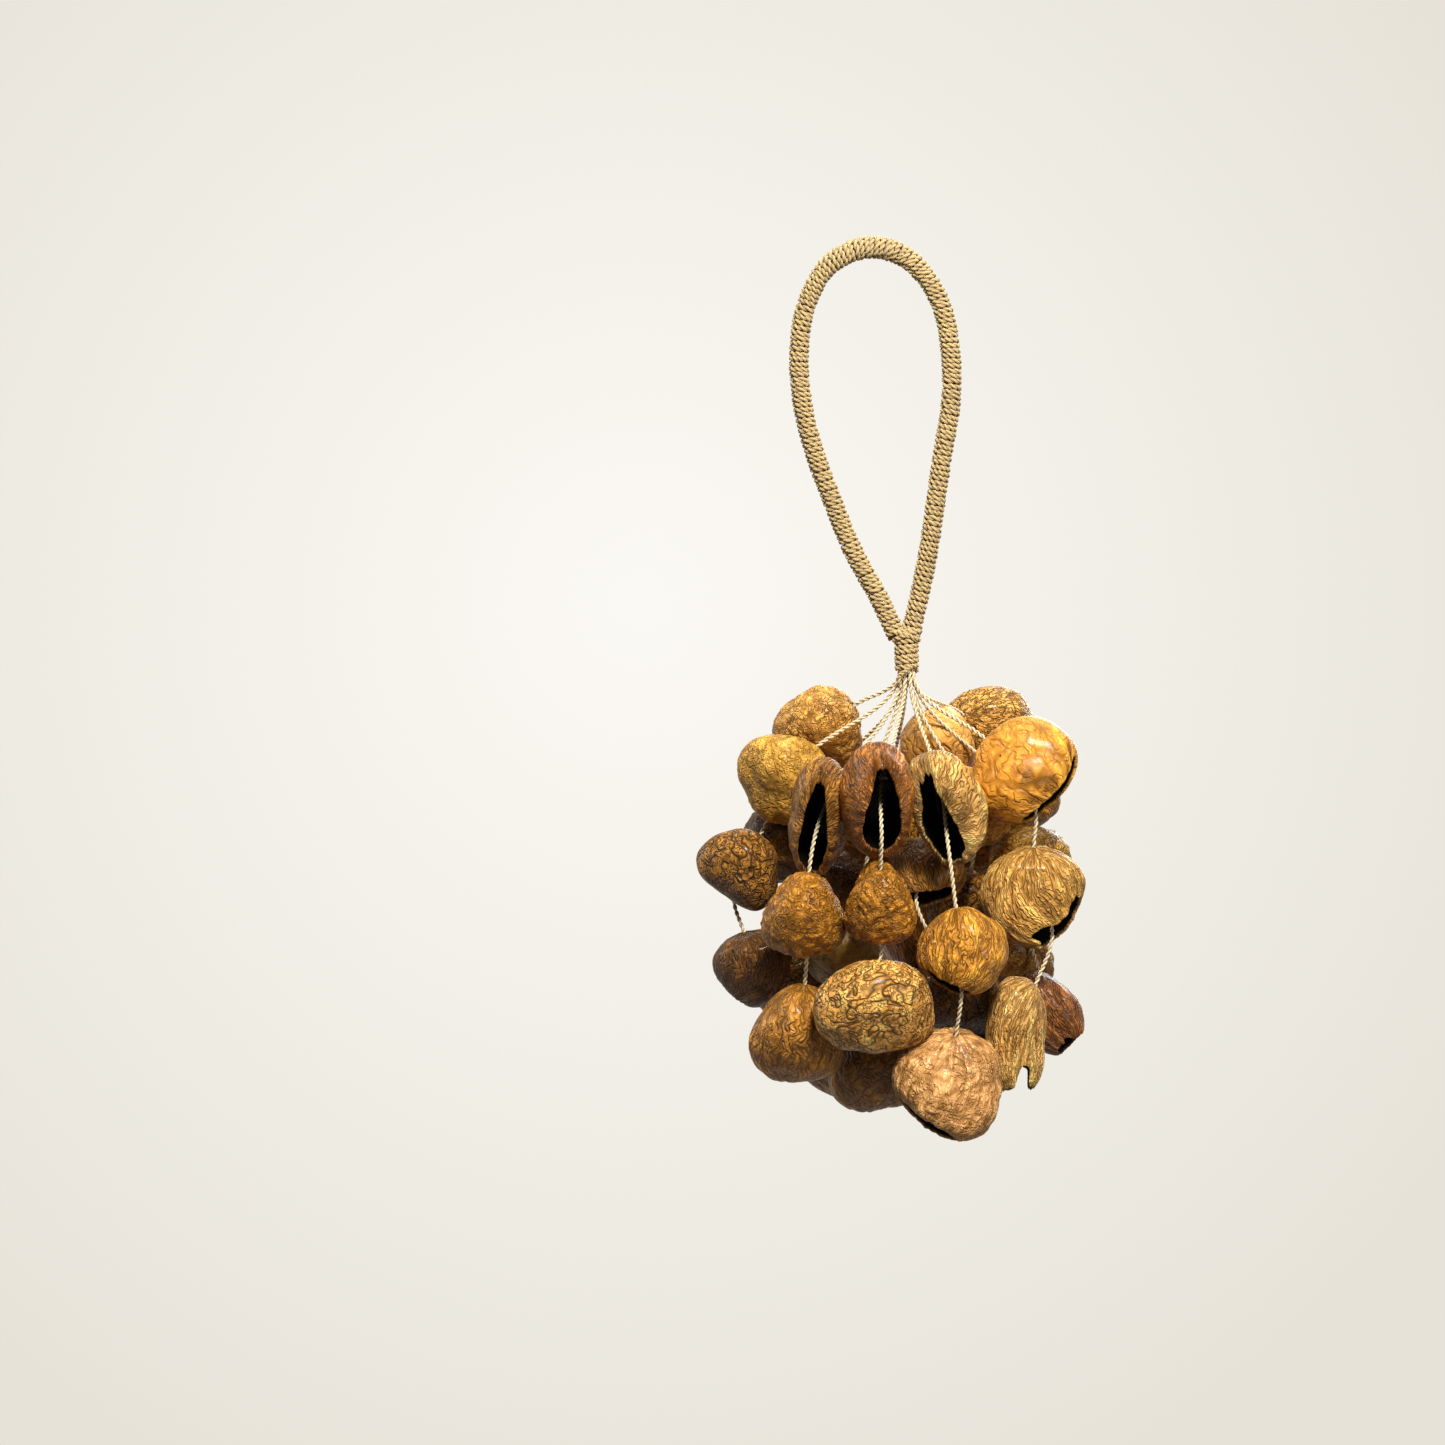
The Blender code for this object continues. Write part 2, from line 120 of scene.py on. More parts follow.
class Paper:
    # The node tree of a material, or of the world
    def __init__(self, owner):
        self.owner = owner
        owner.use_nodes = True
        self.nodes, self.links = owner.node_tree.nodes, owner.node_tree.links
        self.shader = self.nodes.get("Principled BSDF")

    def node(self, kind, settings=None, inputs=None, out=0):
        node = self.nodes.new(kind)
        for name, setting in (settings or {}).items():
            if name == "stops":
                ramp = node.color_ramp
                while len(ramp.elements) < len(setting):
                    ramp.elements.new(1.0)
                for element, (place, colour) in zip(ramp.elements, setting):
                    element.position, element.color = place, colour
            else:
                setattr(node, name, setting)
        for name, value in (inputs or {}).items():
            self.feed(node.inputs[name], value)
        return Value(self, node.outputs[out])

    def feed(self, socket, value):
        if isinstance(value, Value):
            self.links.new(value.socket, socket)
        else:
            socket.default_value = value

    def mix(self, share, first, second):
        # Colours mixed by a share of 0 to 1
        return self.node(
            "ShaderNodeMix", {"data_type": "RGBA"}, {0: share, 6: first, 7: second}, 2
        )

    def noise(self, vector, size, detail=2.0, rough=0.5):
        # A noise whose blobs are about that size in the vector's units
        return self.node("ShaderNodeTexNoise", None, {
            "Vector": vector, "Scale": 1 / size, "Detail": detail, "Roughness": rough,
        })

    def attribute(self, name):
        return self.node("ShaderNodeAttribute", {"attribute_name": name}, None, 1)

    def split(self, vector):
        node = self.nodes.new("ShaderNodeSeparateXYZ")
        self.feed(node.inputs[0], vector)
        return [Value(self, socket) for socket in node.outputs]

    def objectPlace(self, middle=(0, 0, 0)):
        # Where a point lies from the middle, in millimetres
        place = self.node("ShaderNodeTexCoord", None, None, 3)
        return self.node("ShaderNodeMapping", None, {
            "Vector": place, "Scale": (1000, 1000, 1000),
            "Location": tuple(-1000 * x for x in middle),
        })

    def stretched(self, vector, scale):
        return self.node(
            "ShaderNodeVectorMath", {"operation": "MULTIPLY"}, {0: vector, 1: scale}
        )

    def bent(self, vector, size, reach):
        # The vector pushed about by a coarse noise, so that what it carries curls
        push = self.node("ShaderNodeTexNoise", None, {
            "Vector": vector, "Scale": 1 / size, "Detail": 1.0,
        }, 1)
        return self.node(
            "ShaderNodeVectorMath", {"operation": "MULTIPLY_ADD"},
            {0: push, 1: (reach, reach, reach), 2: vector},
        )

    def seen(self):
        # 1 for what the camera sees, straight, in a gloss or through glass, and 0 for the light
        straight, mirrored, through = [
            self.node("ShaderNodeLightPath", None, None, name)
            for name in ("Is Camera Ray", "Is Glossy Ray", "Is Transmission Ray")
        ]
        return (straight + mirrored + through).clipped()

    def finish(self, colour, roughness, height, depth, **settings):
        # Depth is how far a height of 1 stands up, in metres
        self.feed(self.shader.inputs["Base Color"], colour)
        self.feed(self.shader.inputs["Roughness"], roughness)
        normal = self.node("ShaderNodeBump", None, {"Height": height, "Distance": depth})
        self.feed(self.shader.inputs["Normal"], normal)
        for name, value in settings.items():
            self.feed(self.shader.inputs[name.replace("_", " ")], value)
        return self.owner


def fieldNoise(points, seed):
    # A smooth random field from -1 to 1: a hashed value at each corner of the unit cell that
    # a point is in, weighted by 3t^2 - 2t^3 along each side
    base = np.floor(points).astype(np.int64)
    part = points - base
    blend = part * part * (3 - 2 * part)
    total = np.zeros(len(points))
    for corner in np.ndindex(2, 2, 2):
        cell = base + corner
        key = cell[:, 0] * 73856093 ^ cell[:, 1] * 19349663 ^ cell[:, 2] * 83492791
        key = (key + seed * 7919) * 2654435761 & 0xFFFFFFFF
        key = ((key ^ (key >> 15)) * 2246822519) & 0xFFFFFFFF
        value = ((key ^ (key >> 13)) & 0xFFFF) / 32767.5 - 1
        total += value * np.prod(np.where(corner, blend, 1 - blend), axis=1)
    return total


def lineNoise(places, seed):
    # The same along one line
    return fieldNoise(np.stack([places, 0 * places, 0 * places], 1), seed)


def smoothLine(route, step):
    # Points on a smooth curve through the route, at most one step apart. Its slope at a point
    # is the mean of the slopes before and after it, and the shorter stretch counts more.
    route = np.array(route, float)
    spans = np.diff(route, axis=0)
    long = np.linalg.norm(spans, axis=1)[:, None]
    slopes = spans / long
    middle = (slopes[:-1] * long[1:] + slopes[1:] * long[:-1]) / (long[:-1] + long[1:])
    slopes = np.concatenate([slopes[:1], middle, slopes[-1:]])
    stretches = [route[:1]]
    for number, reach in enumerate(long[:, 0]):
        pieces = max(1, math.ceil(reach / step))
        t = (np.arange(1, pieces + 1) / pieces)[:, None]
        start, end = route[number], route[number + 1]
        leave, arrive = slopes[number] * reach, slopes[number + 1] * reach
        rise = 3 * t**2 - 2 * t**3
        bulge = (t**3 - 2 * t**2 + t) * leave + (t**3 - t**2) * arrive
        stretches.append(start + (end - start) * rise + bulge)
    return np.concatenate(stretches)


def distances(line):
    return np.concatenate([[0], np.linalg.norm(np.diff(line, axis=0), axis=1).cumsum()])


def evenLine(line, spacing):
    # The same line with its points the same distance apart
    along = distances(line)
    wanted = np.linspace(0, along[-1], max(2, round(along[-1] / spacing) + 1))
    return np.stack([np.interp(wanted, along, line[:, axis]) for axis in range(3)], 1)


def skinRings(rings, joined):
    # Faces between neighbouring rings of points. Joined makes the last ring meet the first;
    # otherwise each end gets a cap. The faces are turned where they would point inwards.
    count, sides = rings.shape[:2]
    number = np.arange(count * sides).reshape(count, sides)
    before = number if joined else number[:-1]
    after = np.roll(number, -1, 0) if joined else number[1:]
    faces = np.stack([before, np.roll(before, -1, 1), np.roll(after, -1, 1), after], -1)
    faces = faces.reshape(-1, 4)
    corners = rings.reshape(-1, 3)[faces] - rings.mean((0, 1))
    flow = np.cross(corners[:, 2] - corners[:, 0], corners[:, 3] - corners[:, 1])
    inverted = (flow * corners.mean(1)).sum() < 0
    caps = [] if joined else [number[0][::-1], number[-1]]
    faces = [*faces.tolist(), *[cap.tolist() for cap in caps]]
    return [face[::-1] for face in faces] if inverted else faces


def addPiece(name, bodies, attributes, material, node):
    # One object from several bodies, each of (rings, joined), in place of its solid
    points, faces, start = [], [], 0
    for rings, joined in bodies:
        faces += [[corner + start for corner in face] for face in skinRings(rings, joined)]
        points.append(rings.reshape(-1, 3))
        start += len(points[-1])
    mesh = bpy.data.meshes.new(name)
    mesh.from_pydata(np.concatenate(points), [], faces)
    for label, values in attributes.items():
        layer = mesh.attributes.new(label, "FLOAT_VECTOR", "POINT")
        layer.data.foreach_set("vector", np.concatenate(values).astype(np.float32).ravel())
    mesh.shade_smooth()
    mesh.materials.append(material)
    piece = bpy.data.objects.new(name, mesh)
    bpy.context.scene.collection.objects.link(piece)
    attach(piece, "root")
    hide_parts(node)
    return piece


# Cords: their true sizes, the clearance round them, and the two plies that they are twisted from
cordSizes = {
    "width": 1.5 * mm, "knotWidth": 3.6 * mm, "holeGap": 0.35 * mm, "gap": 0.3 * mm,
    "spacing": 0.4 * mm, "holeLead": 1.5 * mm, "lay": 5.4 * mm, "step": 0.9 * mm,
    "knotShare": 0.42, "knotTwist": 0.9,  # where a knot's swelling ends, and its turn each step
    "routeStep": 2.0 * mm, "aside": (0.1, 1.0, 0.05),  # a direction that no cord runs along
    "plies": {"radius": 0.50 * mm, "offset": 0.45 * mm, "sides": 6},
    # The cord's light colour, and its dark one for darker fibres and for the painted shade in the furrow
    # between plies
    "light": paint(242, 222, 178), "dark": paint(140, 106, 60),
}

# The collar: where it is, and its winding
collarSizes = {
    "top": -150.7 * mm, "neck": -157.0 * mm, "bottom": -170.1 * mm, "middle": 2.3 * mm,
    "wall": 1.25 * mm, "coreEnd": -159.5 * mm,
    "legs": (-3.9 * mm, 4.9 * mm), "legGap": 0.5 * mm,  # where the loop's legs reach its top
    "funnel": (0.45, 0.6),  # where its funnel steps, as shares of the way down and sideways
    "step": 1.3 * mm, "flare": 3.0 * mm,  # how much wider than the neck it is there and on top
    "funnelGrowth": 0.8 * mm,  # how much deeper than the handle it is there
    "start": 0.8 * mm,  # how far above the bottom the turns start
    "pitchShare": 0.96, "pointShare": 1.5,  # times the handle's pitch and its points a turn
    "slip": 0.25 * mm, "slipOften": 1.3,  # how unevenly the turns lie, and how often a turn
    "bare": 2.4 * mm,  # how far under the top the turns stop
    "crossing": 1.9 * mm, "crossingDrop": 1.6 * mm,  # the swing and place of the turns on the fork
    "crossingIn": 0.4, "crossingPoints": 60,  # how far in they lie, in half twines
    "tail": [(1.0, 0, 1.5), (-1.2, -0.8, 0), (-3.4, -0.4, -2.0), (-3.2, -0.2, -5.0)],
    "tailStep": 0.6 * mm, "tailWidth": 0.8,  # the hanging end, in mm from the bottom's front
}

# The shells: their wall, how boxy they are, how much they narrow towards the mouth and how much
# the mouth widens at its lower end, where a cord may leave it, the points of the grids of the
# skin and of the solid, and how a worn edge wavers: how far, how often round it, and its seed
shellSizes = {
    "wall": 1.6 * mm, "roundness": 2.25, "wedge": 0.16, "mouthDrop": 0.35, "wayOut": 0.62,
    "columns": 112, "rows": 64, "lipRows": 4, "innerRows": 10,
    "solidColumns": 14, "solidRows": 6, "seatRounds": 5,
    "wear": [(0.05, 2.5, 0), (0.03, 9, 50)],
}

# The strands, each with its three shells from the top down. A shell has its middle (x, y, z)
# to start from, its size along the mouth, across it and out to it, in millimetres, the way its
# mouth faces in degrees (round from the viewer, up from level, turn from showing the broad
# face), the share of the shell that the mouth takes (long, wide), how much fuller one end is
# and how much longer it grows from its back to its mouth, its tone and its kind of wrinkles.
strands = {
    "left": [
        ((-50, 0, -215), (38, 25, 36), (-125, -38, 0), (0.7, 0.4), (0.12, 0.1), "olive", "mottled"),
        ((-66, 2, -252), (35, 25, 31), (-120, -42, 0), (0.7, 0.4), (-0.1, 0.22), "umber", "netted"),
        ((-61, 4, -293), (29, 25, 34), (-115, -44, 0), (0.66, 0.4), (0.06, 0.26), "dark", "ribbed"),
    ],
    "left_rear": [
        ((-34, 18, -194.5), (35, 25, 36), (200, -55, 0), (0.66, 0.4), (0.1, 0.18), "tan", "wormy"),
        ((-48, 16, -243), (37, 26, 34), (190, -60, 10), (0.66, 0.4), (-0.08, 0.15), "dark", "wormy"),
        ((-40, 24, -300), (42, 28, 38), (170, -60, -10), (0.66, 0.4), (0.08, 0.15), "umber", "netted"),
    ],
    "front_left": [
        ((-35, -40, -230), (50, 25, 34), (-8, -24, 100), (0.8, 0.5), (-0.05, 0), "bronze", "lipped"),
        ((-41.5, -44, -271), (33, 27, 34), (172, -66, 0), (0.66, 0.4), (0.08, 0.3), "amber", "wormy"),
        ((-42, -36, -321), (39, 29, 42), (197, -62, 0), (0.66, 0.36), (-0.1, 0.28), "bronze", "ribbed"),
    ],
    "inner_left": [
        ((-14, -8, -222), (28, 24, 32), (180, -70, 0), (0.62, 0.42), (0.05, 0.12), "tan", "wormy"),
        ((-23, -10, -288), (34, 24, 32), (180, -65, 15), (0.62, 0.42), (-0.06, 0.15), "moss", "smooth"),
        ((-12, -12, -337), (38, 26, 34), (165, -65, 0), (0.62, 0.4), (0.08, 0.15), "umber", "ribbed"),
    ],
    "front_middle": [
        ((-9.5, -48, -224), (48, 28, 34), (8, -24, 72), (0.8, 0.58), (0.1, 0), "russet", "lipped"),
        ((-10.5, -52, -266), (27, 24, 33), (183, -70, 0), (0.62, 0.42), (0.04, 0.36), "amber", "wormy"),
        ((-11, -48, -311), (50, 30, 40), (176, -66, -8), (0.66, 0.36), (0.12, 0.12), "oak", "netted"),
    ],
    "inner_middle": [
        ((11, 15, -200), (32, 24, 32), (180, -65, 0), (0.62, 0.42), (0.05, 0.15), "oak", "smooth"),
        ((10.5, -14, -254), (34, 24, 30), (10, -50, 0), (0.7, 0.44), (-0.06, 0.1), "umber", "ribbed"),
        ((25, -8, -307), (36, 25, 33), (180, -65, 0), (0.62, 0.4), (0.06, 0.12), "dark", "netted"),
    ],
    "front_right": [
        ((17.5, -42, -225), (50, 28, 33), (-16, -24, 140), (0.8, 0.5), (-0.08, 0), "sand", "lipped"),
        ((23.5, -52, -286), (36, 30, 35), (-40, -60, 0), (0.5, 0.36), (0.04, 0.04), "honey", "ribbed"),
        ((17.5, -46, -337), (44, 30, 44), (-60, -54, 0), (0.66, 0.34), (0.06, 0.22), "pinkish", "creased"),
    ],
    "right": [
        ((45, -8, -214), (47, 28, 39), (68, -36, 0), (0.76, 0.42), (0.1, 0.06), "honey", "smooth"),
        ((53, -24, -263), (42, 29, 41), (68, -38, 0), (0.64, 0.4), (-0.06, 0.1), "straw", "ribbed"),
        ((46.5, -34, -322), (24, 20, 49), (0, -86, 0), (0.56, 0.56), (0.03, 0), "sand", "ribbed"),
    ],
    "right_rear": [
        ((35, 36, -195), (47, 27, 35), (160, -58, 0), (0.66, 0.4), (0.12, 0.1), "tan", "netted"),
        ((36, 30, -246), (38, 26, 34), (170, -62, 0), (0.64, 0.4), (-0.06, 0.12), "tan", "ribbed"),
        ((47, 14, -292), (36, 25, 33), (165, -65, 0), (0.62, 0.4), (0.06, 0.15), "umber", "wormy"),
    ],
    "far_right": [
        ((47, 26, -226), (34, 25, 32), (120, -50, 0), (0.66, 0.4), (0.08, 0.1), "amber", "ribbed"),
        ((53, 12, -250), (34, 24, 30), (150, -62, 0), (0.62, 0.42), (0.04, 0.12), "olive", "wormy"),
        ((62, -2, -312), (25, 23, 38), (62, -50, 0), (0.62, 0.46), (-0.1, 0.05), "chestnut", "ribbed"),
    ],
    "inner_right": [
        ((25, 4, -229), (34, 25, 32), (180, -66, 0), (0.62, 0.4), (0.06, 0.12), "tan", "wormy"),
        ((27, -4, -268), (32, 24, 30), (180, -68, 0), (0.62, 0.4), (-0.06, 0.12), "umber", "netted"),
        ((31, 6, -331), (38, 26, 36), (150, -60, 0), (0.62, 0.4), (0.06, 0.15), "dark", "ribbed"),
    ],
    "rear_middle": [
        ((-9, 42, -235), (44, 29, 43), (185, -50, 0), (0.7, 0.42), (-0.08, 0.1), "honey", "netted"),
        ((2, 46, -279), (46, 28, 41), (175, -40, 70), (0.72, 0.46), (0.08, 0), "russet", "lipped"),
        ((7, 42, -316), (44, 28, 38), (190, -52, 10), (0.66, 0.4), (-0.08, 0.15), "sand", "ribbed"),
    ],
    "rear_left": [
        ((-42, 38, -228), (40, 27, 34), (210, -42, 70), (0.74, 0.46), (0.08, 0), "bronze", "lipped"),
        ((-24, 36, -261), (42, 28, 38), (215, -52, 0), (0.66, 0.4), (-0.06, 0.12), "dark", "wormy"),
        ((-22, 22, -334), (42, 28, 36), (200, -58, 0), (0.66, 0.38), (0.08, 0.15), "amber", "netted"),
    ],
}
levels = ("upper", "middle", "lower")
innerStrands = ("inner_left", "rear_middle", "inner_right")  # in the middle of the collar

# Places where a rim is broken back: how far round the mouth (degrees), how much further the
# mouth reaches there, and how wide the break is (degrees)
brokenRims = {
    "nut_right_lower": [(72, 0.55, 20), (288, 0.55, 20), (180, 0.10, 9)],
    "nut_right_middle": [(52, 0.34, 18), (128, 0.38, 20)],
    "nut_front_right_upper": [(0, 0.06, 12), (38, 0.14, 8), (330, 0.10, 9), (80, 0.10, 7)],
    "nut_front_left_upper": [(180, 0.05, 10), (200, 0.10, 7)],
    "nut_front_right_middle": [(150, 0.40, 22)],
    "nut_far_right_lower": [(100, 0.18, 14)],
}

# How strong each kind's wrinkles are: close curls, long ribs from mouth to hole, a net of
# veins, folds across the lips and, in the mesh itself, relief; how dark the grooves are painted,
# partly their own colour and partly painted shade; then the size of the curls and the ribs and
# the spacing of the veins, in millimetres
kindColumns = ("curls", "ribs", "net", "folds", "relief", "dark", "curlSize", "ribSize", "cell")
kinds = {
    "wormy": (1.0, 0.2, 0.4, 0.5, 1.2, 1.0, 1.9, 1.4, 5.0),
    "netted": (0.2, 0.1, 1.0, 0.3, 0.5, 1.0, 1.6, 1.4, 2.9),
    "ribbed": (0.3, 1.0, 0.5, 0.6, 0.9, 0.9, 1.6, 1.5, 5.0),
    "lipped": (0.3, 1.0, 0.2, 1.2, 0.8, 1.0, 1.6, 1.25, 6.0),
    "mottled": (0.8, 0.1, 0.5, 0.3, 0.5, 0.65, 2.4, 1.4, 4.5),
    "creased": (0.8, 0.6, 0.25, 0.6, 1.3, 0.8, 2.6, 1.9, 6.0),
    "smooth": (0.15, 0.1, 0.55, 0.4, 0.4, 0.9, 1.8, 1.4, 7.5),
}

# The colour of each tone between its grooves and its ridges
tones = {
    "olive": (214, 158, 62), "umber": (174, 118, 46), "dark": (122, 78, 28), "tan": (226, 162, 74),
    "bronze": (202, 136, 50), "amber": (188, 124, 38), "russet": (192, 118, 42),
    "sand": (240, 180, 98), "honey": (226, 152, 52), "pinkish": (224, 162, 96),
    "straw": (230, 168, 82), "chestnut": (146, 88, 38), "moss": (170, 130, 54),
    "oak": (242, 176, 88),
}


class Shell:
    def __init__(self, name, number, middle, size, facing, mouth, growth, tone, kind):
        self.name, self.number, self.tone = name, number, tone
        self.kind = dict(zip(kindColumns, kinds[kind]))
        self.lipped = kind == "lipped"
        self.middle = np.array(middle) * mm
        self.half = np.array(size) * mm / 2
        self.mouth, (self.fuller, self.taper) = mouth, growth
        around, up, turn = np.radians(facing)
        out = np.array([
            math.sin(around) * math.cos(up), -math.cos(around) * math.cos(up), math.sin(up)
        ])
        upright = unit(np.cross(out, [0, 1.0, 0]))
        along = upright * math.cos(turn) + np.cross(out, upright) * math.sin(turn)
        self.axes = np.array([along, np.cross(out, along), out])
        self.hole = np.array([0.0, 0.0, 1.0])

    def form(self, directions):
        # How far the outside is from the middle: a rounded box, |x/a|^n + |y/b|^n + |z/c|^n = 1,
        # that is narrower across and longer towards the mouth, and fuller at one end
        local = directions @ self.axes.T
        long = self.half[0] * (1 + self.taper * local[..., 2])
        wide = self.half[1] * (1 - shellSizes["wedge"] * local[..., 2])
        deep = self.half[2] * (1 + self.fuller * local[..., 0])
        reach = np.stack([long, wide, deep], -1)
        shares = (np.abs(local) / reach) ** shellSizes["roundness"]
        return shares.sum(-1) ** (-1 / shellSizes["roundness"])

    def surface(self, directions, inwards=0.0):
        return directions * (self.form(directions) - inwards)[..., None]

    def outline(self, around, worn=False):
        # Directions of the mouth's edge: an oval, wider at its lower end. A worn edge wavers,
        # and goes further back where it is broken.
        long, wide = self.mouth
        drop = -shellSizes["mouthDrop"] * self.axes[0, 2]
        x = long * np.cos(around)
        y = wide * np.sin(around) * (1 + drop * np.cos(around))
        if worn:
            circle = np.stack([np.cos(around), np.sin(around), 0 * around], 1)
            waver = 0 * around
            for depth, count, seed in shellSizes["wear"]:
                waver += depth * fieldNoise(circle * count + 9, self.number + seed)
            for place, reach, width in brokenRims.get(self.name, []):
                away = (np.degrees(around) - place + 180) % 360 - 180
                waver += reach * np.exp(-(away / width) ** 4)
            x, y = x * (1 + waver), y * (1 + waver)
        z = np.sqrt(np.maximum(1 - x**2 - y**2, 0.02))
        return unit(np.stack([x, y, z], 1) * self.half @ self.axes)

    def wayOut(self):
        # Where the cord leaves: the lowest point of the mouth's middle line, clear of its ends
        x = self.mouth[0] * np.linspace(-shellSizes["wayOut"], shellSizes["wayOut"], 21)
        line = np.stack([x, 0 * x, np.sqrt(1 - x**2)], 1) * self.half @ self.axes
        points = self.surface(unit(line))
        return self.middle + points[points[:, 2].argmin()]

    def grid(self, columns, rows, worn=False):
        # Directions from the hole, row by row, to the mouth's edge. The sphere is laid flat
        # from the hole's side, so that the hole is a far circle round the mouth; the radius
        # runs between the two as a power, and the middle slides from one to the other.
        side = unit(np.cross(self.hole, self.axes[1]))
        other = np.cross(self.hole, side)
        around = np.arange(columns) / columns * 2 * math.pi
        edge = self.outline(around, worn)
        flat = (edge @ side + 1j * (edge @ other)) / (1 - edge @ self.hole)
        if (np.roll(flat, -1) * flat.conj()).imag.sum() < 0:
            flat, other = flat.conj(), -other
        centre = flat.mean()
        far, turn = np.abs(flat - centre), np.unwrap(np.angle(flat - centre))
        holeReach = cordSizes["width"] / 2 + cordSizes["holeGap"]
        holeAngle = holeReach / (self.form(self.hole[None])[0] - shellSizes["wall"])
        holeFar = 1 / math.tan(holeAngle / 2)
        meanFar = math.exp(np.log(far).mean())
        start, end = 2 * math.atan(holeFar), 2 * math.atan(meanFar)
        reach = np.tan((start + (end - start) * np.arange(rows + 1)[:, None] / rows) / 2)
        share = np.log(holeFar / reach) / math.log(holeFar / meanFar)
        distance = np.exp((1 - share) * math.log(holeFar) + share * np.log(far))
        angle = (1 - share) * (turn[0] + around) + share * turn
        place = distance * np.exp(1j * angle) + centre * (1 - (1 - share) ** 2)
        size = np.abs(place[..., None]) ** 2
        across = place.real[..., None] * side + place.imag[..., None] * other
        return (2 * across + (size - 1) * self.hole) / (size + 1)

    def seat(self, above):
        # Moves the shell until the box of its plain form is its solid's, with its hole turned
        # to where the cord comes from
        low, high = [np.array(corner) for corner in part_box(self.name)]
        for tries in range(shellSizes["seatRounds"]):
            self.hole = unit(above - self.middle)
            grid = self.grid(shellSizes["solidColumns"], shellSizes["solidRows"])
            points = self.surface(grid).reshape(-1, 3)
            self.middle = (low + high - points.min(0) - points.max(0)) / 2
        self.hole = unit(above - self.middle)


def cordStarts():
    # Places of the cords in the collar, a ring round three in the middle, each in the order of
    # the ways that its cords leave; and the bore that they need
    pitch = cordSizes["width"] + cordSizes["spacing"]
    bearing = {name: math.atan2(*rows[0][0][:2]) for name, rows in strands.items()}
    outer = [name for name in strands if name not in innerStrands]
    places = {}
    for group in (outer, innerStrands):
        radius = pitch / 2 / math.sin(math.pi / len(group))
        names = sorted(group, key=bearing.get)
        for number, name in enumerate(names):
            angle = bearing[names[0]] + 2 * math.pi * number / len(names)
            places[name] = radius * np.array([math.sin(angle), math.cos(angle)])
    bore = pitch / 2 / math.sin(math.pi / len(outer)) + cordSizes["width"] / 2 + cordSizes["gap"]
    return places, bore


def threadCord(shells, start):
    # The cord's route from the collar through its three shells to its last knot, and its knots
    x = collarSizes["middle"] + start[0]
    route = [
        np.array([x, start[1], collarSizes["coreEnd"] - cordSizes["gap"]]),
        np.array([x, start[1], collarSizes["bottom"] - cordSizes["width"]]),
    ]
    knots = []
    for shell in shells:
        shell.seat(route[-1])
        hole = shell.middle + shell.surface(shell.hole[None])[0]
        under = hole - shell.hole * (shellSizes["wall"] + cordSizes["gap"])
        knot = under - shell.hole * cordSizes["knotWidth"] / 2
        tail = knot - shell.hole * cordSizes["knotWidth"] / 2
        route += [hole + shell.hole * cordSizes["holeLead"], under, knot, tail, shell.wayOut()]
        knots.append(knot)
    return route[:-1], knots


def plyPair(line, outwards, width, twist, plies):
    # Two plies that wind round the line half a turn apart: circles of a radius about a point at
    # an offset from the line, at the angle of the twist, all of it times the width. The flow
    # runs round and along a ply in millimetres; the skin is the depth in the furrow between them.
    ahead = unit(np.gradient(line, axis=0))
    across = unit(np.cross(ahead, outwards))
    over = np.cross(ahead, across)
    turn = np.arange(plies["sides"]) / plies["sides"] * 2 * math.pi
    circle = np.cos(turn)[:, None] * across[:, None] + np.sin(turn)[:, None] * over[:, None]
    along = distances(line)[:, None] / mm + 0 * turn
    bodies, flows, skins = [], [], []
    for start in (0.0, math.pi):
        angle = (twist + start)[:, None]
        spoke = np.cos(angle) * across + np.sin(angle) * over
        middle = line + plies["offset"] * width[:, None] * spoke
        rings = middle[:, None] + plies["radius"] * width[:, None, None] * circle
        bodies.append((rings, False))
        flow = np.stack([np.cos(turn) + 0 * along, np.sin(turn) + 0 * along, along], -1)
        flows.append(flow.reshape(-1, 3))
        far = np.linalg.norm(rings - line[:, None], axis=2)
        furrow = 1 - far / far.max(1, keepdims=True)
        skins.append(np.stack([furrow] * 3, -1).reshape(-1, 3))
    return bodies, flows, skins


# The twines' finish: how fine the fibres are round and along a ply, the size of paler patches,
# how dark the painted shade in the furrow between the plies is, and the gloss
fibre = {
    "stretch": (9.0, 9.0, 1.2), "patchSize": 9.0, "furrow": 0.9, "roughness": 0.82,
    "bump": 0.00015, "sheen": 0.3, "shine": 0.25,
}


def twineFinish(name, light, dark):
    # Twisted plant fibre: fine fibres along each ply, and painted shade in the furrow between plies
    paper = Paper(bpy.data.materials.new(name))
    flow = paper.attribute("flow")
    furrow = paper.split(paper.attribute("skin"))[0]
    fibres = paper.noise(paper.stretched(flow, fibre["stretch"]), 1.0, 2.0)
    patches = paper.noise(paper.objectPlace(), fibre["patchSize"], 2.0)
    # The tone runs from the dark colour to the light: random fibres and patches, less painted shade in the
    # furrow between plies
    tone = (fibres * 0.5 + patches * 0.4 + 0.35 - furrow * fibre["furrow"]).clipped()
    return paper.finish(
        paper.mix(tone, dark, light), fibre["roughness"] - fibres * 0.1,
        fibres - furrow * 0.5, fibre["bump"],
        Sheen_Weight=fibre["sheen"], Specular_IOR_Level=fibre["shine"],
    )


